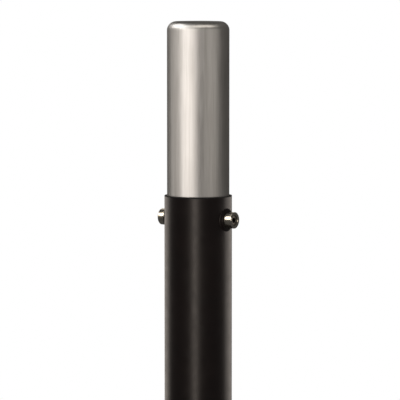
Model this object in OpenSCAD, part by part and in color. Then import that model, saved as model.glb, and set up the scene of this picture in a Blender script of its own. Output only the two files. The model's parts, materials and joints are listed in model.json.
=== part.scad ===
// Retractable bollard: a round post slides in a fixed sleeve, a gas strut lifts it,
// and two clamp screws near the rim hold it. Millimetres, +Z up, with the origin
// under the middle of the base. The post is drawn raised.

/* [Post] */
// Outside diameter of the sliding post
post_d = 76.1; // [60:0.1:100]
// Wall of the post tube and its cap
post_wall = 3; // [2:0.5:4]
// Radius of the rounded edge round the head
head_edge_r = 11; // [6:0.5:16]
// Height of the pressed cap, from its weld to the top
cap_h = 25; // [20:1:40]
// Height of the head left above the wiper when the post is down
head_show = 12; // [8:1:30]

/* [Sleeve] */
// Length of the sleeve above the base plate
sleeve_len = 429; // [350:5:600]
// Wall of the sleeve tube
sleeve_wall = 2; // [1.5:0.5:4]
// Wall of the guides between the post and the sleeve
guide_wall = 1.12; // [1:0.02:3]
// Length of the guide liner in the mouth
liner_len = 140; // [80:5:170]
// Depth of the wiper seal inside the rim
wiper_h = 7; // [4:0.5:12]
// Thickness of the wiper's flange on top of the rim
wiper_flange = 1; // [1:0.5:3]

/* [Foot of the post] */
// Height of the foot bush above the end of the post
bush_h = 55; // [30:1:80]
// Thickness of the bush's lip under the post
bush_lip = 3.5; // [3.5:0.5:6]
// Inside radius of the foot collar, the lip and the bump stop
foot_inner_r = 26; // [25.5:0.5:27]
// Height of the foot collar
collar_h = 12; // [8:1:20]
// Height of the rubber bump stop
bump_h = 22.5; // [10:0.5:30]

/* [Base plate] */
// Diameter of the base plate
base_d = 180; // [170:1:260]
// Thickness of the base plate
base_t = 10; // [8:1:16]
// Diameter of the circle of anchor holes
anchor_pcd = 145; // [138:1:146]
// Diameter of each anchor hole
anchor_hole_d = 14; // [10:0.5:16]
// Number of anchor holes
anchor_count = 4; // [3:1:6]
// Diameter of each drain hole
drain_d = 8; // [5:0.5:10]
// Leg of the fillet weld between the plate and the sleeve
weld_leg = 6; // [3:0.5:8]

/* [Lock screws] */
// Distance of the screw axis below the rim
lock_drop = 27.5; // [24:0.5:60]
// Diameter of the threaded barrel on each side
barrel_d = 20; // [18:0.5:24]
// Height of the barrel above the sleeve
barrel_proud = 11.8; // [11:0.1:20]
// Diameter of the collar that backs the barrel
collar_d = 26; // [25:0.5:32]
// Height of the collar above the sleeve
collar_proud = 1.5; // [1:0.5:6]
// Diameter of the lock screw in the barrel
lock_d = 12; // [10:0.5:14]
// Length of the lock screw
lock_len = 9.8; // [9:0.1:14]
// Distance that one turn moves the screw
lock_pitch = 1.75; // [1:0.25:2]
// Turns by which each screw can be backed off
lock_turns = 3; // [1:1:4]
// Size of the hex socket across its flats
hex_af = 6; // [5:0.5:7]
// Depth of the hex socket
hex_depth = 5; // [4.5:0.5:6]
// Diameter of the clamp pad
pad_d = 11; // [8:0.5:11.5]
// Thickness of the clamp pad
pad_t = 3; // [2:0.1:4]

/* [Gas strut] */
// Diameter of the strut cylinder
strut_d = 22; // [18:1:26]
// Wall of the strut cylinder
strut_wall = 1.5; // [1:0.1:2.5]
// Diameter of the strut rod
rod_d = 10; // [8:0.5:12]
// Length of rod that shows when the post is down
rod_show = 57; // [20:1:100]
// Length of the gland in the lower end of the cylinder
gland_len = 12; // [8:1:20]
// Length of the piston
piston_len = 10; // [6:1:20]
// Gap between the gland and the piston when the post is up
piston_spare = 8; // [2:1:20]
// Diameter of the eye at each end
eye_d = 20; // [16:1:24]
// Width of the eye along its pin
eye_w = 12; // [8:1:14]
// Distance from the pin to the end of the eye's stem
eye_reach = 14; // [13:1:24]
// Diameter of the pins
pin_d = 8; // [6:0.5:10]

/* [Brackets] */
// Distance from each bracket's seat to its pin
bracket_rise = 27; // [24:1:40]
// Length of each bracket's foot
bracket_l = 40; // [36:1:42]
// Thickness of each bracket's foot
bracket_t = 5; // [4:0.5:8]
// Thickness of each bracket's ears
ear_t = 4; // [3:0.5:6]
// Distance between the two screws of the lower bracket
bracket_screw_pitch = 29; // [27:1:31]

/* [Clearances] */
// Radial gap of a running fit
run_gap = 0.08; // [0.03:0.01:0.1]
// Radial gap round a ring or stem that is pressed, bonded or screwed in
press_gap = 0.02; // [0.01:0.01:0.05]
// Gap between two stops that meet at the end of the travel
stop_gap = 0.5; // [0.3:0.1:1]
// Gap between a clamped pad and the post
pad_gap = 0.2; // [0.1:0.05:0.5]
// Gap on each side of an eye in its bracket
side_gap = 0.5; // [0.2:0.1:1]

/* [Hidden] */
$fn = 96;
over = 1;            // how far a cutting shape runs past the face that it cuts

// Radii, from the post outwards
post_r = post_d / 2;
post_bore_r = post_r - post_wall;
sleeve_bore_r = post_r + run_gap + guide_wall;
sleeve_r = sleeve_bore_r + sleeve_wall;

// Heights of the sleeve and its guides
rim_z = base_t + sleeve_len;
wiper_z = rim_z - wiper_h;
liner_z = wiper_z - liner_len;
lock_z = rim_z - lock_drop;

// Heights of the raised post
foot_z = liner_z - stop_gap - bush_h;
travel = foot_z - bush_lip - base_t - bump_h - stop_gap;
head_z = rim_z + wiper_flange + head_show + travel;
cap_z = head_z - cap_h;
ceiling_z = head_z - post_wall;

// Screws that hold the bush on the foot collar
foot_screw_count = 3;
foot_screw_d = 4;
foot_screw_len = 12;
foot_screw_r = (foot_inner_r + post_bore_r) / 2;

// Base plate
weld_r = sleeve_r + weld_leg;
bracket_screw_d = 6;
bracket_screw_len = base_t + bracket_t - 1;

// Lock screws, measured outwards from the middle of the post
lock_r = lock_d / 2;
lock_nose = post_r + pad_gap + pad_t;
barrel_r = barrel_d / 2;
barrel_end = sleeve_r + barrel_proud;
barrel_chamfer = 0.8;
collar_r = collar_d / 2;
collar_face = sleeve_r + collar_proud;
pad_stem_d = 5;
pad_stem_len = 2.5;

// Gas strut
strut_r = strut_d / 2;
strut_bore_r = strut_r - strut_wall;
rod_r = rod_d / 2;
pin_r = pin_d / 2;
eye_r = eye_d / 2;
stud_d = eye_w - 4;
stem_d = eye_w - 1;
stud_len = 8;
strut_end_t = 4;
base_pin_z = base_t + bracket_rise;
head_pin_z = ceiling_z - bracket_rise;
rod_z = base_pin_z + eye_reach;
cyl_top_z = head_pin_z - eye_reach;
cyl_z = rod_z + rod_show + travel;
piston_z = cyl_z + gland_len + piston_spare;

// Brackets, pins and clips
ear_in = eye_w / 2 + side_gap;
ear_out = ear_in + ear_t;
bracket_w = 2 * ear_out + 4;
drain_r = (bracket_w / 2 + foot_inner_r) / 2;
clip_t = 1;
clip_slack = 0.1;
clip_d = pin_d + 5;
groove_r = pin_r - 0.6;
clip_in = ear_out + 0.3;
pin_len = 2 * (clip_in + clip_t + 2);

// A ring with its axis on Z
module ring(r_out, r_in, h) {
    difference() {
        cylinder(r = r_out, h = h);
        translate([0, 0, -over]) cylinder(r = r_in, h = h + 2 * over);
    }
}

// A countersunk screw that points up, with its head's face at z = 0
module countersunk_screw(d, len) {
    head_h = d / 2;
    difference() {
        union() {
            cylinder(r1 = d, r2 = d / 2, h = head_h);
            cylinder(r = d / 2, h = len);
        }
        translate([0, 0, -over]) cylinder(d = d * 0.7, h = d * 0.35 + over, $fn = 6);
    }
}

// The hole for that screw, with its gap, through h of metal
module countersunk_hole(d, h) {
    head_h = d / 2;
    cylinder(r1 = d + press_gap, r2 = d / 2 + press_gap, h = head_h);
    translate([0, 0, -over]) cylinder(r = d + press_gap, h = over);
    cylinder(r = d / 2 + press_gap, h = h + over);
}

// Copies round Z at a radius
module around(count, r, turn = 0) {
    for (i = [0 : count - 1]) {
        rotate([0, 0, turn + i * 360 / count]) translate([r, 0, 0]) children();
    }
}

// Places that point out along X from the screw axis, on the right or the left
module on_right() { translate([0, 0, lock_z]) rotate([0, 90, 0]) children(); }
module on_left() { translate([0, 0, lock_z]) rotate([0, -90, 0]) children(); }

// A clevis with its seat at z = 0 and its pin hole along Y
module clevis() {
    translate([-bracket_l / 2, -bracket_w / 2, 0]) cube([bracket_l, bracket_w, bracket_t]);
    for (side = [-1, 1]) {
        y = side > 0 ? ear_in : -ear_out;
        difference() {
            union() {
                translate([-eye_r, y, 0]) cube([eye_d, ear_t, bracket_rise]);
                translate([0, y + ear_t, bracket_rise]) rotate([90, 0, 0]) cylinder(r = eye_r, h = ear_t);
            }
            translate([0, y + ear_t + over, bracket_rise])
                rotate([90, 0, 0]) cylinder(r = pin_r + run_gap, h = ear_t + 2 * over);
        }
    }
}

// A pin along Y with a clip groove at each end
module clevis_pin() {
    rotate([90, 0, 0]) difference() {
        translate([0, 0, -pin_len / 2]) cylinder(r = pin_r, h = pin_len);
        for (side = [-1, 1]) {
            translate([0, 0, side * (clip_in + clip_t / 2) - clip_t / 2 - clip_slack / 2])
                ring(pin_r + over, groove_r, clip_t + clip_slack);
        }
    }
}

// The two open clips on that pin
module clevis_clips() {
    for (side = [-1, 1]) {
        translate([0, side * (clip_in + clip_t / 2) + clip_t / 2, 0]) rotate([90, 0, 0]) difference() {
            ring(clip_d / 2, groove_r + press_gap, clip_t);
            translate([-clip_d, -pin_d / 4, -over]) cube([clip_d, pin_d / 2, clip_t + 2 * over]);
        }
    }
}

// An eye on its pin at the origin, with its stem up Z and a hole for a stud in the stem
module strut_eye() {
    difference() {
        union() {
            translate([0, eye_w / 2, 0]) rotate([90, 0, 0]) cylinder(r = eye_r, h = eye_w);
            cylinder(d = stem_d, h = eye_reach);
        }
        translate([0, eye_w / 2 + over, 0]) rotate([90, 0, 0])
            cylinder(r = pin_r + run_gap, h = eye_w + 2 * over);
        translate([0, 0, eye_reach - stud_len]) cylinder(r = stud_d / 2 + press_gap, h = stud_len + over);
    }
}

// Round plate with its anchor, drain and bracket holes, and the fillet weld on top
module base_plate() {
    color("#2b2422") difference() {
        union() {
            cylinder(d = base_d, h = base_t);
            translate([0, 0, base_t]) difference() {
                cylinder(r1 = weld_r, r2 = sleeve_r + press_gap, h = weld_leg);
                translate([0, 0, -over]) cylinder(r = sleeve_r + press_gap, h = weld_leg + 2 * over);
            }
        }
        around(anchor_count, anchor_pcd / 2, 45) {
            translate([0, 0, -over]) cylinder(d = anchor_hole_d, h = base_t + 2 * over);
        }
        around(2, drain_r, 90) {
            translate([0, 0, -over]) cylinder(d = drain_d, h = base_t + 2 * over);
        }
        around(2, bracket_screw_pitch / 2) countersunk_hole(bracket_screw_d, base_t);
    }
}

module outer_sleeve() {
    color("#2a211f") difference() {
        translate([0, 0, base_t]) ring(sleeve_r, sleeve_bore_r, sleeve_len);
        on_right() cylinder(r = barrel_r + press_gap, h = barrel_end);
        on_left() cylinder(r = barrel_r + press_gap, h = barrel_end);
    }
}

// Saddle ring round the barrel, with its face square to the screw
module lock_collar() {
    difference() {
        ring(collar_r, barrel_r + press_gap, collar_face);
        translate([-rim_z, 0, 0]) rotate([0, 90, 0]) cylinder(r = sleeve_r, h = 2 * rim_z);
    }
}

module lock_collar_right() { color("#1d1817") on_right() lock_collar(); }
module lock_collar_left() { color("#1d1817") on_left() lock_collar(); }

// Threaded barrel through the sleeve wall, trimmed flush with the bore
module lock_barrel() {
    difference() {
        union() {
            cylinder(r = barrel_r, h = barrel_end - barrel_chamfer);
            cylinder(r = barrel_r - barrel_chamfer, h = barrel_end);
            translate([0, 0, barrel_end - barrel_chamfer])
                cylinder(r1 = barrel_r, r2 = barrel_r - barrel_chamfer, h = barrel_chamfer);
        }
        translate([0, 0, -over]) cylinder(r = lock_r + run_gap, h = barrel_end + 2 * over);
        translate([-rim_z, 0, 0]) rotate([0, 90, 0]) cylinder(r = sleeve_bore_r, h = 2 * rim_z);
    }
}

module lock_barrel_right() { color("#cfcac0") on_right() lock_barrel(); }
module lock_barrel_left() { color("#cfcac0") on_left() lock_barrel(); }

// Acetal tube in the mouth, with a window for each clamp pad
module guide_liner() {
    window_r = lock_r + stop_gap;
    color("#d8d4c8") difference() {
        translate([0, 0, liner_z]) ring(sleeve_bore_r - press_gap, post_r + run_gap, liner_len);
        on_right() cylinder(r = window_r, h = sleeve_r);
        on_left() cylinder(r = window_r, h = sleeve_r);
    }
}

// Rubber ring in the mouth, with a flange that caps the rim
module wiper_seal() {
    color("#141414") translate([0, 0, wiper_z]) {
        ring(sleeve_bore_r - press_gap, post_r + run_gap, wiper_h);
        translate([0, 0, wiper_h]) ring(sleeve_r, post_r + run_gap, wiper_flange);
    }
}

module bump_stop() {
    color("#191919") translate([0, 0, base_t]) ring(sleeve_bore_r - stop_gap, foot_inner_r, bump_h);
}

module strut_base_bracket() {
    color("#9a9a96") translate([0, 0, base_t]) difference() {
        clevis();
        around(2, bracket_screw_pitch / 2) {
            translate([0, 0, -over]) cylinder(r = bracket_screw_d / 2 + press_gap, h = bracket_t + 2 * over);
        }
    }
}

module strut_base_screws() {
    color("#8c8c88") around(2, bracket_screw_pitch / 2) {
        countersunk_screw(bracket_screw_d, bracket_screw_len);
    }
}

module strut_base_pin() {
    color("#b5b5b0") translate([0, 0, base_pin_z]) clevis_pin();
}

module strut_base_clips() {
    color("#6f6f6b") translate([0, 0, base_pin_z]) clevis_clips();
}

module rod_eye() {
    color("#a5a5a0") translate([0, 0, base_pin_z]) strut_eye();
}

// Polished rod with a stud in the eye below it
module strut_rod() {
    color("#d9d9d9") translate([0, 0, rod_z]) {
        cylinder(r = rod_r, h = piston_z + piston_len - rod_z);
        translate([0, 0, -stud_len]) cylinder(d = stud_d, h = stud_len);
    }
}

module strut_piston() {
    color("#c2a45c") translate([0, 0, piston_z]) ring(strut_bore_r - run_gap, rod_r + press_gap, piston_len);
}

module post_tube() {
    color("#b8b3ac") translate([0, 0, foot_z]) ring(post_r, post_bore_r, cap_z - foot_z);
}

// Outline of a head, from the axis to r, with a rounded upper edge
module head_outline(r, h, edge_r) {
    square([r, h - edge_r]);
    square([r - edge_r, h]);
    translate([r - edge_r, h - edge_r]) circle(r = edge_r);
}

module post_cap() {
    color("#bbb6af") translate([0, 0, cap_z]) rotate_extrude() intersection() {
        difference() {
            head_outline(post_r, cap_h, head_edge_r);
            translate([0, -over]) square([post_bore_r, over]);
            head_outline(post_bore_r, cap_h - post_wall, head_edge_r - post_wall);
        }
        square([post_r, cap_h]);
    }
}

module foot_collar() {
    color("#8f8f8a") translate([0, 0, foot_z]) difference() {
        ring(post_bore_r - press_gap, foot_inner_r, collar_h);
        around(foot_screw_count, foot_screw_r) {
            translate([0, 0, -over]) cylinder(r = foot_screw_d / 2 + press_gap, h = collar_h + 2 * over);
        }
    }
}

// Acetal sleeve round the foot of the post, with a lip under its end
module foot_bush() {
    color("#d8d4c8") translate([0, 0, foot_z - bush_lip]) difference() {
        union() {
            ring(sleeve_bore_r - run_gap, foot_inner_r, bush_lip);
            translate([0, 0, bush_lip]) ring(sleeve_bore_r - run_gap, post_r + press_gap, bush_h);
        }
        around(foot_screw_count, foot_screw_r) countersunk_hole(foot_screw_d, bush_lip);
    }
}

module foot_screws() {
    color("#8c8c88") translate([0, 0, foot_z - bush_lip]) around(foot_screw_count, foot_screw_r) {
        countersunk_screw(foot_screw_d, foot_screw_len);
    }
}

module strut_head_bracket() {
    color("#9a9a96") translate([0, 0, ceiling_z]) mirror([0, 0, 1]) clevis();
}

module strut_head_pin() {
    color("#b5b5b0") translate([0, 0, head_pin_z]) clevis_pin();
}

module strut_head_clips() {
    color("#6f6f6b") translate([0, 0, head_pin_z]) clevis_clips();
}

module cylinder_eye() {
    color("#a5a5a0") translate([0, 0, head_pin_z]) mirror([0, 0, 1]) strut_eye();
}

// Closed tube with a stud in the eye above it, open at its lower end
module strut_cylinder() {
    color("#1c1c1e") {
        translate([0, 0, cyl_z]) difference() {
            cylinder(r = strut_r, h = cyl_top_z - cyl_z);
            translate([0, 0, -over]) cylinder(r = strut_bore_r, h = cyl_top_z - cyl_z - strut_end_t + over);
        }
        translate([0, 0, cyl_top_z]) cylinder(d = stud_d, h = stud_len);
    }
}

module strut_gland() {
    color("#34343a") translate([0, 0, cyl_z]) ring(strut_bore_r - press_gap, rod_r + run_gap, gland_len);
}

// Pad that the screw presses on the post, along +Z from the post's middle
module clamp_pad() {
    translate([0, 0, post_r + pad_gap]) {
        cylinder(d = pad_d, h = pad_t);
        cylinder(d = pad_stem_d, h = pad_t + pad_stem_len);
    }
}

module clamp_pad_right() { color("#b08a3c") on_right() clamp_pad(); }
module clamp_pad_left() { color("#b08a3c") on_left() clamp_pad(); }

// Set screw with a hex socket in its outer end and a hole for the pad's stem in its nose
module lock_screw() {
    translate([0, 0, lock_nose]) difference() {
        cylinder(r = lock_r, h = lock_len);
        translate([0, 0, lock_len - hex_depth])
            cylinder(r = hex_af / sqrt(3), h = hex_depth + over, $fn = 6);
        translate([0, 0, -over]) cylinder(r = pad_stem_d / 2 + run_gap, h = pad_stem_len + stop_gap + over);
    }
}

module lock_screw_right() { color("#8f8b84") on_right() lock_screw(); }
module lock_screw_left() { color("#8f8b84") on_left() lock_screw(); }

base_plate();
outer_sleeve();
lock_collar_right();
lock_collar_left();
lock_barrel_right();
lock_barrel_left();
guide_liner();
wiper_seal();
bump_stop();
strut_base_bracket();
strut_base_screws();
strut_base_pin();
strut_base_clips();
rod_eye();
strut_rod();
strut_piston();
post_tube();
post_cap();
foot_collar();
foot_bush();
foot_screws();
strut_head_bracket();
strut_head_pin();
strut_head_clips();
cylinder_eye();
strut_cylinder();
strut_gland();
clamp_pad_right();
clamp_pad_left();
lock_screw_right();
lock_screw_left();
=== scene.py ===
"""Retractable bollard: finished meshes, materials and studio around the fixed CAD frame.

Every size is in metres. Places come from the frame's own boxes, so the pieces follow the CAD.
"""

import json
import math

import bmesh
import bpy
from bpy.props import FloatProperty, FloatVectorProperty, IntProperty, PointerProperty
from mathutils import Matrix, Vector

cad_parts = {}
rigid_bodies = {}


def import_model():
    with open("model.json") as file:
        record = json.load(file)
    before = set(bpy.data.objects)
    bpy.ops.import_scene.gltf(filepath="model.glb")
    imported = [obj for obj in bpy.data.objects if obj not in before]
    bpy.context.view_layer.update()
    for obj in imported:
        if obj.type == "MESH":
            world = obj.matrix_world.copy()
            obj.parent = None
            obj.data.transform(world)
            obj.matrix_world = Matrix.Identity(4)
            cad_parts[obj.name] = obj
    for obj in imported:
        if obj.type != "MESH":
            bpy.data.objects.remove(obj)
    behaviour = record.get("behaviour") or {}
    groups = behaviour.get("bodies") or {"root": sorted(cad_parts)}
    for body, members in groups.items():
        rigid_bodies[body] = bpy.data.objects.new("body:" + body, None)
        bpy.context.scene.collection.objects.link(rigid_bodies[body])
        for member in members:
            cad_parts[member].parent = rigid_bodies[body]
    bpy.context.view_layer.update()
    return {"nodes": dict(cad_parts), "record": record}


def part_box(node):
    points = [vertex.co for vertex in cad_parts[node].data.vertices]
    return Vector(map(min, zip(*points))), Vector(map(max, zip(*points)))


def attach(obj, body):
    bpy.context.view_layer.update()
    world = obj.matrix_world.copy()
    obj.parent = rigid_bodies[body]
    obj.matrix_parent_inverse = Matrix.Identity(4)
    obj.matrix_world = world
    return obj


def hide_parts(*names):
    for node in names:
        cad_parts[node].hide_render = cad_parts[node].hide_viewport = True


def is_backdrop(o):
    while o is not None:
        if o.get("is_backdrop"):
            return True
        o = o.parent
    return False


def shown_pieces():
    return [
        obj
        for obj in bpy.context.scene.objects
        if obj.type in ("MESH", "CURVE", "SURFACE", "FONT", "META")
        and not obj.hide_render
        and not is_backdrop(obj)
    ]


bl_info = {
    "name": "Retractable bollard",
    "version": (1, 0, 0),
    "blender": (4, 5, 0),
    "location": "3D View > Sidebar > Bollard",
    "description": "Builds the finished pieces of a retractable bollard and its studio",
    "category": "Object",
}

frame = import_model()


def linear(code):
    """An sRGB hex colour as a linear RGBA colour."""
    levels = [int(code[i:i + 2], 16) / 255 for i in (1, 3, 5)]
    return tuple(v / 12.92 if v <= 0.04045 else ((v + 0.055) / 1.055) ** 2.4 for v in levels) + (1.0,)


def colour(name, description, code):
    """A colour property whose default is an sRGB hex value."""
    return FloatVectorProperty(name=name, description=description, subtype="COLOR", size=4,
                               min=0.0, max=1.0, default=linear(code))


def length(name, description, metres):
    """A length property in metres."""
    return FloatProperty(name=name, description=description, default=metres, unit="LENGTH", precision=5)


class BollardSizes(bpy.types.PropertyGroup):
    """Finishing sizes that the CAD leaves to the maker."""

    edge_round: length("Edge rounding", "Rounding on turned and sawn edges", 0.0004)
    rim_round: length("Rim rounding", "Rounding on the sleeve's sawn and dressed rim", 0.0003)
    flange_round: length("Flange rounding", "Rounding on the edge of the wiper's flange", 0.0004)
    collar_round: length("Collar rounding", "Rounding on the outer edge of the lock collars", 0.0007)
    barrel_chamfer: length("Barrel chamfer", "Chamfer on the outer end of each lock barrel", 0.0008)
    mouth_chamfer: length("Mouth chamfer", "Chamfer at the mouth of each threaded bore", 0.0009)
    thread_depth: length("Thread depth", "Depth of the screw threads", 0.0008)
    thread_pitch: length("Thread pitch", "Distance between turns of the screw threads", 0.00175)
    hex_size: length("Hex socket", "Width of each hex socket across its flats", 0.006)
    hex_depth: length("Socket depth", "Depth of each hex socket", 0.005)
    collar_bead: length("Collar weld bead", "Radius of the weld bead round each collar", 0.0011)
    base_bead: length("Base weld bead", "Radius of the weld bead round the foot of the sleeve", 0.0046)
    ripple_depth: length("Ripple depth", "Height of the ripples on a weld bead", 0.00018)
    ripple_pitch: length("Ripple pitch", "Distance between ripples on a weld bead", 0.0022)
    pad_stem: length("Pad stem bore", "Radius of the bore for the clamp pad's stem", 0.00258)
    anchor_ease: length("Anchor hole easing", "Width of the cone at the top of each anchor hole", 0.001)
    drain: length("Drain radius", "Radius of each drain hole in the base plate", 0.004)
    drain_reach: length("Drain reach", "Distance of each drain hole from the middle of the base", 0.01925)
    bracket_screw: length("Bracket screw", "Radius of the shank of each bracket screw", 0.003)
    bracket_head: length("Bracket screw head", "Radius of the head of each bracket screw", 0.006)
    bracket_sink: length("Countersink depth", "Depth of each countersink under the base plate", 0.003)
    dust_reach: length("Dust reach", "Height above the ground that dust reaches", 0.09)
    turns: IntProperty(name="Turned steps", description="Steps round a turned piece", default=192, min=24)


class BollardColours(bpy.types.PropertyGroup):
    """Base colours of the finishes."""

    stainless: colour("Stainless", "Satin stainless of the post", "#cbc8c4")
    stainless_dark: colour("Stainless shade", "Darker brush lines in the stainless", "#b4b0ab")
    coat: colour("Powder coat", "Dark bronze-black coat of the sleeve", "#181010")
    coat_light: colour("Coat variation", "Lighter patches in the coat", "#1e1514")
    dust: colour("Dust", "Ground dust on the base", "#8d857a")
    turned: colour("Turned steel", "Barrels of the lock screws", "#d6cfc2")
    oiled: colour("Oiled steel", "Dark set screws in the barrels", "#5a5650")
    nylon: colour("Nylon", "Gland of the gas strut", "#12120f")
    rubber: colour("Rubber", "Wiper seal and bump stop", "#0f0f0f")
    acetal: colour("Acetal", "Guide liner and foot bush", "#e2ded2")
    zinc: colour("Zinc plate", "Brackets, pins and screws", "#b9bab6")
    phosphate: colour("Phosphate", "Spring clips", "#4b4b49")
    chrome: colour("Hard chrome", "Strut rod", "#e4e4e2")
    brass: colour("Brass", "Clamp pads and piston", "#c8a252")
    strut: colour("Strut paint", "Black paint of the strut cylinder", "#101012")
    floor: colour("Floor", "Pale studio floor", "#f1f0ee")


class BollardStage(bpy.types.PropertyGroup):
    """Camera and lights."""

    azimuth: FloatProperty(name="Azimuth", description="Camera's turn round the post", default=32.0)
    elevation: FloatProperty(name="Elevation", description="Camera's height angle, in degrees", default=4.8)
    lens: FloatProperty(name="Lens", description="Focal length in millimetres", default=260.0)
    view_width: length("View width", "Width of the picture at the post", 0.4886)
    below_rim: length("Centre below rim", "Height of the picture's centre under the rim", 0.0050)
    aside: length("Aside", "How far the picture's centre lies to the right of the post", 0.0022)
    floor_radius: length("Floor radius", "Radius of the floor disc", 1.0)


def sizes():
    """The finishing sizes set in the sidebar."""
    return bpy.context.scene.bollard_sizes


def colours():
    """The base colours set in the sidebar."""
    return bpy.context.scene.bollard_colours


# Sizes read from the frame ------------------------------------------------------------------

POST_LOW, POST_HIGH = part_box("post_tube")
CAP_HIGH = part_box("post_cap")[1]
SLEEVE_LOW, SLEEVE_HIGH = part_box("outer_sleeve")
WIPER_LOW, WIPER_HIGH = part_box("wiper_seal")
PLATE_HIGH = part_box("base_plate")[1]

POST_R = POST_HIGH.x
FOOT_Z = POST_LOW.z
HEAD_Z = CAP_HIGH.z
WALL = HEAD_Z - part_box("strut_head_bracket")[1].z
POST_BORE_R = POST_R - WALL
# Rounding round the top of the post, as in the CAD
HEAD_EDGE_R = 0.011
SLEEVE_R = SLEEVE_HIGH.x
RIM_Z = SLEEVE_HIGH.z
BASE_T = SLEEVE_LOW.z
# Gap between pieces that are welded or pressed together
FIT = 0.00002
SLEEVE_BORE_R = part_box("guide_liner")[1].x + FIT
# Gap between pieces that run in each other
RUN_GAP = 0.00008
# Points nearer than this are one point
MERGE = 1e-7
# How near a point has to be to a wall to lie on it
ON_WALL = 1e-6
# How far a cutter reaches past the face that it cuts
PAST = 0.001

MOUNTS = {mount["name"]: mount for mount in frame["record"]["mounts"]}
ANCHORS = MOUNTS["anchor_holes"]["dims"]
SIDES = {"right": 1, "left": -1}


# Mesh helpers ---------------------------------------------------------------------------------

def finish_mesh(name, bm, sharp=40.0):
    """Closes the bmesh into an object with smooth faces and sharp edges where they should be."""
    bmesh.ops.remove_doubles(bm, verts=bm.verts, dist=MERGE)
    bmesh.ops.recalc_face_normals(bm, faces=bm.faces)
    mesh = bpy.data.meshes.new(name)
    bm.to_mesh(mesh)
    bm.free()
    smooth(mesh, sharp)
    piece = bpy.data.objects.new(name, mesh)
    bpy.context.scene.collection.objects.link(piece)
    return piece


def smooth(mesh, sharp=40.0):
    """Shades the mesh smooth, with edges over that many degrees left sharp."""
    mesh.shade_smooth()
    mesh.set_sharp_from_angle(angle=math.radians(sharp))


def turned(name, corners, closed=True, steps=None, place=None, sharp=40.0, shape=None):
    """Spins an outline of (radius, height, rounding) corners round Z into a turned piece."""
    bm = bmesh.new()
    verts = [bm.verts.new((r, 0.0, z)) for r, z, _ in corners]
    pairs = list(zip(verts, verts[1:]))
    if closed:
        pairs.append((verts[-1], verts[0]))
    for pair in pairs:
        bm.edges.new(pair)
    for vert, (_, _, rounding) in zip(verts, corners):
        if rounding > 0:
            segments = max(3, min(20, int(rounding / 0.00035)))
            bmesh.ops.bevel(bm, geom=[vert], offset=rounding, affect="VERTICES",
                            segments=segments, profile=0.5, material=-1)
    bmesh.ops.spin(bm, geom=bm.verts[:] + bm.edges[:], cent=(0, 0, 0), axis=(0, 0, 1),
                   dvec=(0, 0, 0), angle=math.tau, steps=steps or sizes().turns, use_merge=True)
    bmesh.ops.remove_doubles(bm, verts=bm.verts, dist=MERGE)
    if shape:
        shape(bm)
    if place:
        bmesh.ops.transform(bm, matrix=place, verts=bm.verts)
    return finish_mesh(name, bm, sharp)


def prism(name, sides, radius, low, high, place=None, top_radius=None):
    """A straight or tapered prism on Z, used as a cutter or a plain solid."""
    bm = bmesh.new()
    bmesh.ops.create_cone(bm, cap_ends=True, segments=sides, radius1=radius,
                          radius2=radius if top_radius is None else top_radius, depth=high - low)
    bmesh.ops.translate(bm, verts=bm.verts, vec=(0, 0, (low + high) / 2))
    if place:
        bmesh.ops.transform(bm, matrix=place, verts=bm.verts)
    return finish_mesh(name, bm)


def cut(piece, cutters, sharp=40.0):
    """Subtracts the cutters from the piece and removes them."""
    for cutter in cutters:
        boolean = piece.modifiers.new("cut", "BOOLEAN")
        boolean.operation = "DIFFERENCE"
        boolean.solver = "EXACT"
        boolean.object = cutter
    bake(piece, sharp)
    for cutter in cutters:
        bpy.data.objects.remove(cutter)


def bake(piece, sharp=40.0):
    """Applies the piece's modifiers."""
    graph = bpy.context.evaluated_depsgraph_get()
    mesh = bpy.data.meshes.new_from_object(piece.evaluated_get(graph))
    piece.modifiers.clear()
    piece.data = mesh
    mesh.name = piece.name
    smooth(mesh, sharp)


def outward(side, reach=0.0):
    """The matrix that stands a Z piece on the screw axis, pointing outwards on one side."""
    low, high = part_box("lock_barrel_" + side)
    turn = Matrix.Rotation(math.radians(90 * SIDES[side]), 4, "Y")
    return Matrix.Translation((reach * SIDES[side], 0, (low.z + high.z) / 2)) @ turn


def reach_of(node, side):
    """Nearest and farthest distance of a node from the post's middle, along the screw axis."""
    low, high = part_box(node)
    return (low.x, high.x) if side == "right" else (-high.x, -low.x)


def dress(piece, body, slot, finish, *nodes):
    """Gives the piece its finish, its body and the CAD nodes that it stands for. The slot argument is not
    used.
    """
    piece.data.materials.clear()
    piece.data.materials.append(finish)
    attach(piece, body)
    if nodes:
        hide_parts(*nodes)
    return piece


def coat_node(node, finish):
    """Assigns a finish to a CAD node whose shape stays."""
    slots = frame["nodes"][node].data.materials
    slots.clear()
    slots.append(finish)


# Material helpers -------------------------------------------------------------------------------

def add(tree, kind, inputs=None, **settings):
    """Adds a shader node with its settings, input values and links."""
    node = tree.nodes.new("ShaderNode" + kind)
    for key, value in settings.items():
        setattr(node, key, value)
    for key, value in (inputs or {}).items():
        if isinstance(value, bpy.types.NodeSocket):
            tree.links.new(value, node.inputs[key])
        else:
            node.inputs[key].default_value = value
    return node


def material(name, **constants):
    """A new Principled material; the constants are set on the shader's own sockets."""
    made = bpy.data.materials.get(name)
    if made:
        return made, None, None
    made = bpy.data.materials.new(name)
    made.use_nodes = True
    tree = made.node_tree
    tree.nodes.clear()
    shader = add(tree, "BsdfPrincipled", {key.replace("_", " "): value for key, value in constants.items()})
    add(tree, "OutputMaterial", {"Surface": shader.outputs["BSDF"]})
    return made, tree, shader


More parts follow.
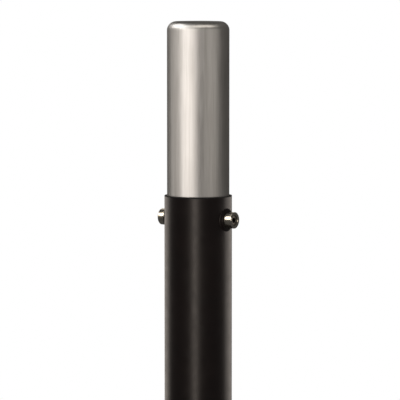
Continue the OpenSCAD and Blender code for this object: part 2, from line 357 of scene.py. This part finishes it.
def noise(tree, size, detail=3.0, stretch=(1, 1, 1), roughness=0.5, vector=None):
    """Noise whose features are about size metres across, stretched along the axes."""
    if vector is None:
        vector = add(tree, "TexCoord").outputs["Object"]
    mapped = add(tree, "Mapping", {"Vector": vector, "Scale": [1 / (size * s) for s in stretch]})
    made = add(tree, "TexNoise", {"Vector": mapped.outputs["Vector"], "Scale": 1.0, "Detail": detail,
                                  "Roughness": roughness})
    return made.outputs["Fac"]


def spread(tree, value, low, high, to_low=0.0, to_high=1.0):
    """Maps a value from one range to another, held at its ends."""
    made = add(tree, "MapRange", {"Value": value, "From Min": low, "From Max": high,
                                  "To Min": to_low, "To Max": to_high})
    return made.outputs["Result"]


def mix(tree, factor, first, second):
    """Mixes two colours by a factor."""
    made = add(tree, "Mix", data_type="RGBA")
    for socket, value in (("Factor_Float", factor), ("A_Color", first), ("B_Color", second)):
        target = next(s for s in made.inputs if s.identifier == socket)
        if isinstance(value, bpy.types.NodeSocket):
            tree.links.new(value, target)
        else:
            target.default_value = value
    return next(s for s in made.outputs if s.identifier == "Result_Color")


def times(tree, first, second, operation="MULTIPLY"):
    """A sum on two values."""
    return add(tree, "Math", {0: first, 1: second}, operation=operation).outputs["Value"]


def bump(tree, shader, height, distance, strength=1.0, below=None):
    """Raises the surface by a height of up to distance metres."""
    inputs = {"Height": height, "Distance": distance, "Strength": strength}
    if below:
        inputs["Normal"] = below
    made = add(tree, "Bump", inputs)
    tree.links.new(made.outputs["Normal"], shader.inputs["Normal"])
    return made.outputs["Normal"]


def link(tree, output, shader, socket):
    """Drives one of the shader's sockets by a node's output."""
    tree.links.new(output, shader.inputs[socket])


# Finishes ----------------------------------------------------------------------------------------

def satin_stainless():
    """Stainless tube, belt-brushed along its length and round the head: soft streaks, broad shine."""
    made, tree, shader = material("satin_stainless_steel", Metallic=1.0, Roughness=0.36, Anisotropic=0.45)
    if tree is None:
        return made
    place = add(tree, "TexCoord").outputs["Object"]
    parts = add(tree, "SeparateXYZ", {"Vector": place})
    flat = add(tree, "CombineXYZ", {"X": parts.outputs["X"], "Y": parts.outputs["Y"]})
    radius = add(tree, "VectorMath", {0: flat.outputs["Vector"]}, operation="LENGTH").outputs["Value"]
    ringed = add(tree, "CombineXYZ", {"X": radius, "Z": parts.outputs["Z"]}).outputs["Vector"]
    head = spread(tree, parts.outputs["Z"], HEAD_Z - 0.8 * HEAD_EDGE_R, HEAD_Z - 0.3 * HEAD_EDGE_R)
    # Brush lines are drawn 0.5 mm apart, coarser than real, so that they show
    along = noise(tree, 0.0005, 4.0, (1, 1, 60), vector=place)
    round_head = noise(tree, 0.0004, 3.0, (1, 1, 1), vector=ringed)
    fine = add(tree, "Mix", {0: head, 2: along, 3: round_head}).outputs[0]
    # Broad streaks 4 mm wide, where the belt pressed unevenly
    broad = noise(tree, 0.004, 2.0, (1, 1, 40), vector=place)
    cloudy = noise(tree, 0.05, 2.0, vector=place)
    tone = times(tree, times(tree, fine, 0.5), times(tree, broad, 0.5), "ADD")
    base = mix(tree, spread(tree, tone, 0.35, 0.65), colours().stainless_dark, colours().stainless)
    link(tree, base, shader, "Base Color")
    streaked = spread(tree, fine, 0.3, 0.7, -0.04, 0.04)
    rough = times(tree, streaked, spread(tree, cloudy, 0.3, 0.7, 0.34, 0.40), "ADD")
    link(tree, rough, shader, "Roughness")
    bump(tree, shader, fine, 0.00002, 0.5)
    tangent = add(tree, "Tangent", direction_type="RADIAL", axis="Z").outputs["Tangent"]
    link(tree, tangent, shader, "Tangent")
    return made


def powder_coat():
    """Polyester powder coat over steel, baked: satin, with a fine orange peel and dust near the ground."""
    made, tree, shader = material("bronze_black_powder_coat", Metallic=0.0, Roughness=0.36, IOR=1.5)
    if tree is None:
        return made
    place = add(tree, "TexCoord").outputs["Object"]
    patches = noise(tree, 0.03, 3.0, vector=place)
    base = mix(tree, spread(tree, patches, 0.35, 0.7), colours().coat, colours().coat_light)
    rough = spread(tree, noise(tree, 0.012, 4.0, vector=place), 0.3, 0.7, 0.33, 0.41)
    height = add(tree, "SeparateXYZ", {"Vector": place}).outputs["Z"]
    low = spread(tree, height, sizes().dust_reach, 0.0)
    grains = spread(tree, noise(tree, 0.006, 6.0, roughness=0.65, vector=place), 0.45, 0.8, 0.0, 0.5)
    settled = times(tree, times(tree, low, low), grains)
    base = mix(tree, settled, base, colours().dust)
    rough = times(tree, rough, times(tree, settled, 0.35), "ADD")
    link(tree, base, shader, "Base Color")
    link(tree, rough, shader, "Roughness")
    # Orange peel is 1.3 mm across
    peel = bump(tree, shader, noise(tree, 0.0013, 2.0, vector=place), 0.000035, 0.45)
    bump(tree, shader, noise(tree, 0.0003, 1.0, vector=place), 0.000008, 0.3, below=peel)
    return made


def turned_steel():
    """Stainless bar turned in a lathe: bright, with fine rings round the screw axis."""
    made, tree, shader = material("turned_stainless_steel", Metallic=1.0, Roughness=0.22)
    if tree is None:
        return made
    place = add(tree, "TexCoord").outputs["Object"]
    # Tool marks are drawn 0.25 mm apart along X, the screw axis
    marks = noise(tree, 0.00025, 2.0, (1, 40, 40), vector=place)
    stains = noise(tree, 0.004, 4.0, vector=place)
    base = mix(tree, spread(tree, stains, 0.35, 0.7), colours().turned, colours().stainless_dark)
    link(tree, base, shader, "Base Color")
    link(tree, spread(tree, marks, 0.3, 0.7, 0.17, 0.29), shader, "Roughness")
    bump(tree, shader, marks, 0.000015, 0.5)
    return made


def moulded(name, tone, roughness, grain, ior=1.5):
    """Moulded or machined plastic and rubber: an even body colour with a fine spark-eroded grain."""
    made, tree, shader = material(name, Roughness=roughness, IOR=ior)
    if tree is None:
        return made
    place = add(tree, "TexCoord").outputs["Object"]
    darker = tuple(c * 0.8 for c in tone[:3]) + (1.0,)
    base = mix(tree, spread(tree, noise(tree, 0.008, 3.0, vector=place), 0.3, 0.7), darker, tone)
    link(tree, base, shader, "Base Color")
    speck = noise(tree, grain, 2.0, vector=place)
    link(tree, spread(tree, speck, 0.3, 0.7, roughness - 0.06, roughness + 0.06), shader, "Roughness")
    bump(tree, shader, speck, grain * 0.08, 0.5)
    return made


def plated(name, tone, roughness, patch=0.006):
    """Plated or bare metal part: slight blotches in tone and in shine."""
    made, tree, shader = material(name, Metallic=1.0, Roughness=roughness)
    if tree is None:
        return made
    place = add(tree, "TexCoord").outputs["Object"]
    darker = tuple(c * 0.78 for c in tone[:3]) + (1.0,)
    blotch = noise(tree, patch, 4.0, vector=place)
    link(tree, mix(tree, spread(tree, blotch, 0.35, 0.65), darker, tone), shader, "Base Color")
    link(tree, spread(tree, blotch, 0.3, 0.7, roughness - 0.05, roughness + 0.07), shader, "Roughness")
    bump(tree, shader, noise(tree, 0.0006, 3.0, vector=place), 0.00001, 0.4)
    return made


def zinc_plate():
    """Bright zinc on brackets, pins and screws."""
    return plated("bright_zinc_plate", tuple(colours().zinc), 0.32)


# Pieces ----------------------------------------------------------------------------------------------

class BOLLARD_OT_post(bpy.types.Operator):
    """Spins the closed post shell, from its foot to the rounded head"""

    bl_idname = "bollard.post"
    bl_label = "Post shell"

    def execute(self, context):
        s = sizes()
        outline = [
            (0.0, HEAD_Z, 0.0),
            (POST_R, HEAD_Z, HEAD_EDGE_R),
            (POST_R, FOOT_Z, s.edge_round),
            (POST_BORE_R, FOOT_Z, s.edge_round),
            (POST_BORE_R, HEAD_Z - WALL, HEAD_EDGE_R - WALL),
            (0.0, HEAD_Z - WALL, 0.0),
        ]
        shell = turned("post_shell", outline, closed=False, steps=256)
        dress(shell, "post", "satin_stainless", satin_stainless(), "post_tube", "post_cap")
        return {"FINISHED"}


class BOLLARD_OT_sleeve(bpy.types.Operator):
    """Spins the coated sleeve and cuts the hole for each lock barrel"""

    bl_idname = "bollard.sleeve"
    bl_label = "Outer sleeve"

    def execute(self, context):
        s = sizes()
        outline = [
            (SLEEVE_BORE_R, BASE_T, 0.0),
            (SLEEVE_R, BASE_T, 0.0),
            (SLEEVE_R, RIM_Z, s.rim_round),
            (SLEEVE_BORE_R, RIM_Z, 0.0),
        ]
        tube = turned("sleeve_tube", outline, steps=256)
        cutters = []
        for side in SIDES:
            low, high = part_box("lock_barrel_" + side)
            cutters.append(prism("hole", 96, (high.z - low.z) / 2 + FIT, 0.0, 2 * SLEEVE_R, outward(side)))
        cut(tube, cutters)
        coat = powder_coat()
        dress(tube, "sleeve", "coated_steel", coat, "outer_sleeve")
        return {"FINISHED"}


def saddle(bm):
    """Lowers a ring that lies square to X on to the sleeve's round side."""
    for vert in bm.verts:
        vert.co.z -= SLEEVE_R - math.sqrt(max(SLEEVE_R ** 2 - vert.co.y ** 2, 0.0))


def rippled(bm, ring_r, bead_r, axis_z):
    """Lays weld ripples on a bead: each swells a little across its own width."""
    s = sizes()
    count = round(math.tau * ring_r / s.ripple_pitch)
    for vert in bm.verts:
        angle = math.atan2(vert.co.y, vert.co.x)
        centre = Vector((ring_r * math.cos(angle), ring_r * math.sin(angle), axis_z))
        wave = abs(math.sin(angle * count / 2))
        vert.co = centre + (vert.co - centre) * (1 + (wave - 1) * s.ripple_depth / bead_r * 2)


def weld_bead(name, ring_r, bead_r, axis_z, steps, place=None, shape=None):
    """A ring of weld with its centre line at ring_r."""
    bm = bmesh.new()
    bmesh.ops.create_circle(bm, segments=16, radius=bead_r)
    bmesh.ops.rotate(bm, verts=bm.verts, cent=(0, 0, 0), matrix=Matrix.Rotation(math.radians(90), 3, "X"))
    bmesh.ops.translate(bm, verts=bm.verts, vec=(ring_r, 0, axis_z))
    bmesh.ops.spin(bm, geom=bm.verts[:] + bm.edges[:], cent=(0, 0, 0), axis=(0, 0, 1),
                   dvec=(0, 0, 0), angle=math.tau, steps=steps, use_merge=True)
    bmesh.ops.remove_doubles(bm, verts=bm.verts, dist=MERGE)
    rippled(bm, ring_r, bead_r, axis_z)
    if shape:
        shape(bm)
    if place:
        bmesh.ops.transform(bm, matrix=place, verts=bm.verts)
    return finish_mesh(name, bm, 80.0)


def thread_wave(place):
    """Height of a thread's flanks at a place along its pitch: 0 at the root and 1 at the crest."""
    flank = 2 * abs(place % 1.0 - 0.5)
    return min(max(1.35 * flank - 0.15, 0.0), 1.0)


def threaded(start, end, wall_r, sign):
    """Returns a shaper that raises a thread on the wall at wall_r; sign is 1 for a bore."""
    s = sizes()

    def shape(bm):
        for vert in bm.verts:
            radius = math.hypot(vert.co.x, vert.co.y)
            if abs(radius - wall_r) > ON_WALL or not start < vert.co.z < end:
                continue
            angle = math.atan2(vert.co.y, vert.co.x) / math.tau
            fade = min((vert.co.z - start) / s.thread_pitch, (end - vert.co.z) / s.thread_pitch, 1.0)
            depth = s.thread_depth * fade * (1 - thread_wave(vert.co.z / s.thread_pitch - angle))
            grown = (radius + sign * depth) / radius
            vert.co.x *= grown
            vert.co.y *= grown

    return shape


def wall_points(radius, start, end):
    """Points up a threaded wall, ten to each turn of the thread."""
    count = max(2, round(abs(end - start) / sizes().thread_pitch * 10))
    return [(radius, start + (end - start) * i / count, 0.0) for i in range(1, count)]


class BOLLARD_OT_barrels(bpy.types.Operator):
    """Turns the two threaded barrels and their saddle collars and welds them to the sleeve"""

    bl_idname = "bollard.barrels"
    bl_label = "Lock barrels"

    def execute(self, context):
        s = sizes()
        coat = powder_coat()
        for side in SIDES:
            low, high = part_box("lock_barrel_" + side)
            radius = (high.z - low.z) / 2
            start, end = 0.8 * SLEEVE_BORE_R, reach_of("lock_barrel_" + side, side)[1]
            low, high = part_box("lock_screw_" + side)
            bore = (high.z - low.z) / 2 + RUN_GAP
            outline = [(bore, start, 0.0), (radius, start, 0.0), (radius, end - s.barrel_chamfer, 0.00015),
                       (radius - s.barrel_chamfer, end, 0.00015), (bore + s.mouth_chamfer, end, 0.00015),
                       (bore, end - s.mouth_chamfer, 0.0)]
            outline += wall_points(bore, end - s.mouth_chamfer, start)
            barrel = turned("barrel_" + side, outline, steps=96, place=outward(side),
                            shape=threaded(start, end - s.mouth_chamfer, bore, 1))
            cut(barrel, [prism("bore", 256, SLEEVE_BORE_R, 0.0, RIM_Z + 0.01)])
            dress(barrel, "sleeve", "turned_stainless", turned_steel(), "lock_barrel_" + side)

            low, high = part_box("lock_collar_" + side)
            rim, face = (high.z - low.z) / 2, reach_of("lock_collar_" + side, side)[1]
            hole = radius + FIT
            outline = [(hole, start, 0.0), (rim, start, 0.0), (rim, face, s.collar_round),
                       (hole, face, 0.0002)]
            collar = turned("collar_" + side, outline, steps=128, place=outward(side))
            cut(collar, [prism("saddle", 256, SLEEVE_R, 0.0, RIM_Z + 0.01)])
            dress(collar, "sleeve", "coated_collar", coat, "lock_collar_" + side)
            bead = weld_bead("collar_weld_" + side, rim, s.collar_bead, SLEEVE_R, 180, outward(side), saddle)
            dress(bead, "sleeve", "coated_collar", coat)
        return {"FINISHED"}


class BOLLARD_OT_lock_screws(bpy.types.Operator):
    """Turns the threaded set screws and sinks a hex socket in each"""

    bl_idname = "bollard.lock_screws"
    bl_label = "Lock screws"

    def execute(self, context):
        s = sizes()
        oiled = plated("oiled_set_screw_steel", tuple(colours().oiled), 0.3, 0.003)
        brass = plated("machined_brass", tuple(colours().brass), 0.3)
        for side in SIDES:
            node = "lock_screw_" + side
            low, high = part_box(node)
            radius = (high.z - low.z) / 2
            nose, tip = reach_of(node, side)
            stem_tip = reach_of("clamp_pad_" + side, side)[1]
            stem, roof = s.pad_stem, stem_tip + 0.0005
            ease = s.thread_depth
            outline = [(0.0, roof, 0.0), (stem, roof, 0.0), (stem, nose, 0.0002),
                       (radius - ease, nose, 0.0001), (radius, nose + ease, 0.0)]
            outline += wall_points(radius, nose + ease, tip - ease)
            outline += [(radius, tip - ease, 0.0), (radius - ease, tip, 0.0001), (0.0, tip, 0.0)]
            screw = turned("set_screw_" + side, outline, closed=False, steps=96, place=outward(side),
                           shape=threaded(nose + ease, tip - ease, radius, -1))
            across = s.hex_size / math.sqrt(3)
            cut(screw, [
                prism("socket", 6, across, tip - s.hex_depth, tip + PAST, outward(side)),
                prism("lead_in", 48, s.hex_size / 2, tip - 0.0004, tip + 0.0002, outward(side),
                      top_radius=across + 0.0003),
            ], 25.0)
            dress(screw, "screw_" + side, "socket_steel", oiled, node)
            coat_node("clamp_pad_" + side, brass)
        return {"FINISHED"}


class BOLLARD_OT_base(bpy.types.Operator):
    """Turns the base plate, drills it and lays the weld between it and the sleeve"""

    bl_idname = "bollard.base"
    bl_label = "Base plate"

    def execute(self, context):
        s = sizes()
        coat = powder_coat()
        radius = PLATE_HIGH.x
        outline = [(0.0, 0.0, 0.0), (radius, 0.0, 0.0006), (radius, BASE_T, 0.0012), (0.0, BASE_T, 0.0)]
        plate = turned("base_flange", outline, closed=False, steps=256)
        cutters = []
        hole = ANCHORS["hole_r_mm"] / 1000
        for i in range(ANCHORS["count"]):
            angle = math.radians(45 + 360 * i / ANCHORS["count"])
            reach = ANCHORS["pcd_mm"] / 2000
            place = Matrix.Translation((reach * math.cos(angle), reach * math.sin(angle), 0))
            cutters.append(prism("anchor", 64, hole, -PAST, BASE_T + PAST, place))
            cutters.append(prism("ease", 64, hole, BASE_T - 0.8 * s.anchor_ease, BASE_T + 0.2 * s.anchor_ease,
                                 place, hole + s.anchor_ease))
        for side in SIDES.values():
            place = Matrix.Translation((0, side * s.drain_reach, 0))
            cutters.append(prism("drain", 48, s.drain, -PAST, BASE_T + PAST, place))
        screws_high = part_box("strut_base_screws")[1]
        head, shank = s.bracket_head + FIT, s.bracket_screw + FIT
        for side in SIDES.values():
            place = Matrix.Translation((side * (screws_high.x - s.bracket_head), 0, 0))
            cutters.append(prism("countersink", 48, head, -MERGE, s.bracket_sink, place, shank))
            cutters.append(prism("clearance", 48, shank, -PAST, BASE_T + PAST, place))
        cut(plate, cutters)
        dress(plate, "sleeve", "coated_steel", coat, "base_plate")
        bead = weld_bead("base_weld", SLEEVE_R + 0.0012, s.base_bead, BASE_T + 0.0009, 720)
        dress(bead, "sleeve", "coated_steel", coat)
        return {"FINISHED"}


class BOLLARD_OT_guides(bpy.types.Operator):
    """Turns the wiper seal with its lip and finishes the plastic guides"""

    bl_idname = "bollard.guides"
    bl_label = "Guides and seals"

    def execute(self, context):
        rubber = moulded("wiper_rubber", tuple(colours().rubber), 0.6, 0.0005)
        acetal = moulded("machined_acetal", tuple(colours().acetal), 0.45, 0.0008)
        s = sizes()
        lip_r = POST_R + RUN_GAP
        top = WIPER_HIGH.z
        outline = [
            (lip_r, WIPER_LOW.z, 0.0),
            (SLEEVE_BORE_R - FIT, WIPER_LOW.z, 0.0),
            (SLEEVE_BORE_R - FIT, RIM_Z, 0.0),
            (SLEEVE_R, RIM_Z, 0.0),
            (SLEEVE_R, top, s.flange_round),
            (lip_r + 0.0005, top, 0.0001),
            (lip_r, top - 0.0004, 0.0001),
        ]
        wiper = turned("wiper_ring", outline, steps=256)
        dress(wiper, "sleeve", "wiper_rubber", rubber, "wiper_seal")
        coat_node("bump_stop", rubber)
        coat_node("guide_liner", acetal)
        coat_node("foot_bush", acetal)
        return {"FINISHED"}


class BOLLARD_OT_strut(bpy.types.Operator):
    """Gives the gas strut, its brackets and its fasteners their finishes"""

    bl_idname = "bollard.strut"
    bl_label = "Gas strut"

    def execute(self, context):
        c = colours()
        zinc = zinc_plate()
        for node in ("strut_base_bracket", "strut_base_screws", "strut_base_pin", "rod_eye", "foot_collar",
                     "foot_screws", "strut_head_bracket", "strut_head_pin", "cylinder_eye"):
            coat_node(node, zinc)
        for node in ("strut_base_clips", "strut_head_clips"):
            coat_node(node, plated("phosphated_spring_steel", tuple(c.phosphate), 0.45))
        coat_node("strut_rod", plated("hard_chrome", tuple(c.chrome), 0.12))
        coat_node("strut_piston", plated("machined_brass", tuple(c.brass), 0.3))
        coat_node("strut_cylinder", moulded("black_strut_enamel", tuple(c.strut), 0.3, 0.0012))
        coat_node("strut_gland", moulded("moulded_nylon", tuple(c.nylon), 0.34, 0.0004))
        return {"FINISHED"}


# Studio -----------------------------------------------------------------------------------------------

def towards(azimuth, elevation=0.0):
    """The direction from the post to a place at that azimuth; 0 is -Y and 90 is +X."""
    a, e = math.radians(azimuth), math.radians(elevation)
    return Vector((math.sin(a) * math.cos(e), -math.cos(a) * math.cos(e), math.sin(e)))


def soft_light(name, azimuth, elevation, distance, width, height, power, tone, target, only=None):
    """A rectangular light that faces the target and lights only the given pieces.

    Angles are in degrees, sizes and distance in metres and power in watts.
    """
    data = bpy.data.lights.new(name, "AREA")
    data.shape = "RECTANGLE"
    data.size = width
    data.size_y = height
    data.energy = power
    data.color = linear(tone)[:3]
    lamp = bpy.data.objects.new(name, data)
    lamp.location = target + towards(azimuth, elevation) * distance
    lamp.rotation_euler = (target - lamp.location).to_track_quat("-Z", "Y").to_euler()
    bpy.context.scene.collection.objects.link(lamp)
    if only:
        group = bpy.data.collections.new(name + "_takes")
        for piece in only:
            group.objects.link(piece)
        lamp.light_linking.receiver_collection = group
    return lamp


class BOLLARD_OT_stage(bpy.types.Operator):
    """Lays the floor, hangs the soft lights and sets the camera"""

    bl_idname = "bollard.stage"
    bl_label = "Studio"

    def execute(self, context):
        scene = context.scene
        st = scene.bollard_stage
        self.lay_floor(st)
        self.set_world(scene)
        self.set_camera(scene, st)
        self.hang_lights(st)
        scene.view_settings.view_transform = "Standard"
        scene.view_settings.look = "None"
        return {"FINISHED"}

    def lay_floor(self, st):
        bm = bmesh.new()
        bmesh.ops.create_circle(bm, cap_ends=True, segments=128, radius=st.floor_radius)
        floor = finish_mesh("studio_floor", bm)
        made, tree, shader = material("pale_floor", Roughness=0.6)
        tone = mix(tree, noise(tree, 0.2, 2.0), colours().floor, linear("#eceae7"))
        link(tree, tone, shader, "Base Color")
        floor.data.materials.append(made)
        # The floor takes its own light and throws none back, so that the pieces keep their dark sides
        floor.visible_diffuse = False
        floor.visible_glossy = False
        floor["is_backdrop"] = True

    def set_world(self, scene):
        world = scene.world or bpy.data.worlds.new("studio")
        scene.world = world
        world.use_nodes = True
        tree = world.node_tree
        tree.nodes.clear()
        seen = add(tree, "LightPath").outputs["Is Camera Ray"]
        white = add(tree, "Background", {"Color": linear("#ffffff"), "Strength": 1.0}).outputs["Background"]
        dim = add(tree, "Background", {"Color": linear("#f2efea"), "Strength": 0.10}).outputs["Background"]
        both = add(tree, "MixShader", {0: seen, 1: dim, 2: white}).outputs["Shader"]
        add(tree, "OutputWorld", {"Surface": both})

    def set_camera(self, scene, st):
        data = bpy.data.cameras.new("camera")
        data.lens = st.lens
        data.sensor_width = 36.0
        data.clip_end = 1000.0
        camera = bpy.data.objects.new("camera", data)
        aim = Vector((0, 0, RIM_Z - st.below_rim)) + towards(st.azimuth + 90) * st.aside
        distance = st.view_width * st.lens / data.sensor_width
        camera.location = aim + towards(st.azimuth, st.elevation) * distance
        camera.rotation_euler = (aim - camera.location).to_track_quat("-Z", "Y").to_euler()
        scene.collection.objects.link(camera)
        scene.camera = camera

    def hang_lights(self, st):
        named = bpy.data.objects
        metal = [named["post_shell"]]
        bright = [named["barrel_right"], named["barrel_left"]]
        rims = [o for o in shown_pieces() if o.name.startswith("collar_")]
        dark = [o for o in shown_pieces() if o not in metal + bright + rims]
        middle = Vector((0, 0, 0.42))
        screws = Vector((0, 0, outward("right").translation.z))
        head = Vector((0, 0, HEAD_Z))
        a = st.azimuth
        soft_light("key_metal", a - 37, 8, 1.6, 1.8, 1.7, 18.5, "#fffaf6", middle, metal)
        soft_light("left_metal", a - 96, 8, 1.8, 1.5, 1.7, 4.2, "#fffaf4", middle, metal)
        soft_light("fill_metal", a + 48, 6, 1.8, 2.0, 1.7, 5.2, "#fffaf4", middle, metal)
        soft_light("head_metal", a - 92, 42, 1.2, 1.5, 0.8, 10, "#ffffff", head, metal)
        soft_light("crown_metal", a + 22, 60, 1.2, 1.8, 0.7, 5.5, "#fffaf2", head, metal)
        soft_light("key_dark", a - 11, 8, 2.0, 0.42, 1.9, 11, "#fff1e4", middle, dark + rims)
        soft_light("rear_right", a + 129, 6, 1.7, 1.6, 1.8, 11.5, "#fff3e8", middle, dark)
        soft_light("rear_left", a - 139, 6, 1.7, 1.4, 1.8, 10.5, "#fff3e8", middle, dark)
        soft_light("screw_key", a - 66, 30, 1.0, 0.6, 0.6, 6, "#fff6e6", screws, bright)
        soft_light("screw_edge", a + 28, 10, 1.2, 0.25, 0.5, 1.0, "#fff6e6", screws, bright)
        soft_light("screw_back", a + 180, 30, 1.2, 0.6, 0.4, 1.2, "#fff6e6", screws, bright)
        soft_light("floor_wash", a, 80, 2.6, 2.0, 2.0, 58, "#ffffff", Vector(), [named["studio_floor"]])
        soft_light("top_dark", a - 20, 78, 1.8, 1.4, 1.4, 6, "#ffffff", middle, dark)


OPERATORS = (BOLLARD_OT_post, BOLLARD_OT_sleeve, BOLLARD_OT_barrels, BOLLARD_OT_lock_screws,
             BOLLARD_OT_base, BOLLARD_OT_guides, BOLLARD_OT_strut, BOLLARD_OT_stage)


class BOLLARD_PT_panel(bpy.types.Panel):
    """Lists the operators and their sizes in the sidebar"""

    bl_idname = "BOLLARD_PT_panel"
    bl_label = "Retractable bollard"
    bl_space_type = "VIEW_3D"
    bl_region_type = "UI"
    bl_category = "Bollard"

    def draw(self, context):
        layout = self.layout
        for operator in OPERATORS:
            layout.operator(operator.bl_idname)
        for group_name, _ in GROUPS:
            group = getattr(context.scene, group_name)
            box = layout.box()
            for name in group.bl_rna.properties.keys():
                if name not in ("rna_type", "name"):
                    box.prop(group, name)


GROUPS = (
    ("bollard_sizes", BollardSizes),
    ("bollard_colours", BollardColours),
    ("bollard_stage", BollardStage),
)


def register():
    for name, group in GROUPS:
        bpy.utils.register_class(group)
        setattr(bpy.types.Scene, name, PointerProperty(type=group))
    for cls in OPERATORS + (BOLLARD_PT_panel,):
        bpy.utils.register_class(cls)


def unregister():
    for cls in (BOLLARD_PT_panel,) + OPERATORS[::-1]:
        bpy.utils.unregister_class(cls)
    for name, group in GROUPS[::-1]:
        delattr(bpy.types.Scene, name)
        bpy.utils.unregister_class(group)


def main():
    register()
    for operator in OPERATORS:
        family, name = operator.bl_idname.split(".")
        getattr(getattr(bpy.ops, family), name)()


if __name__ == "__main__":
    main()
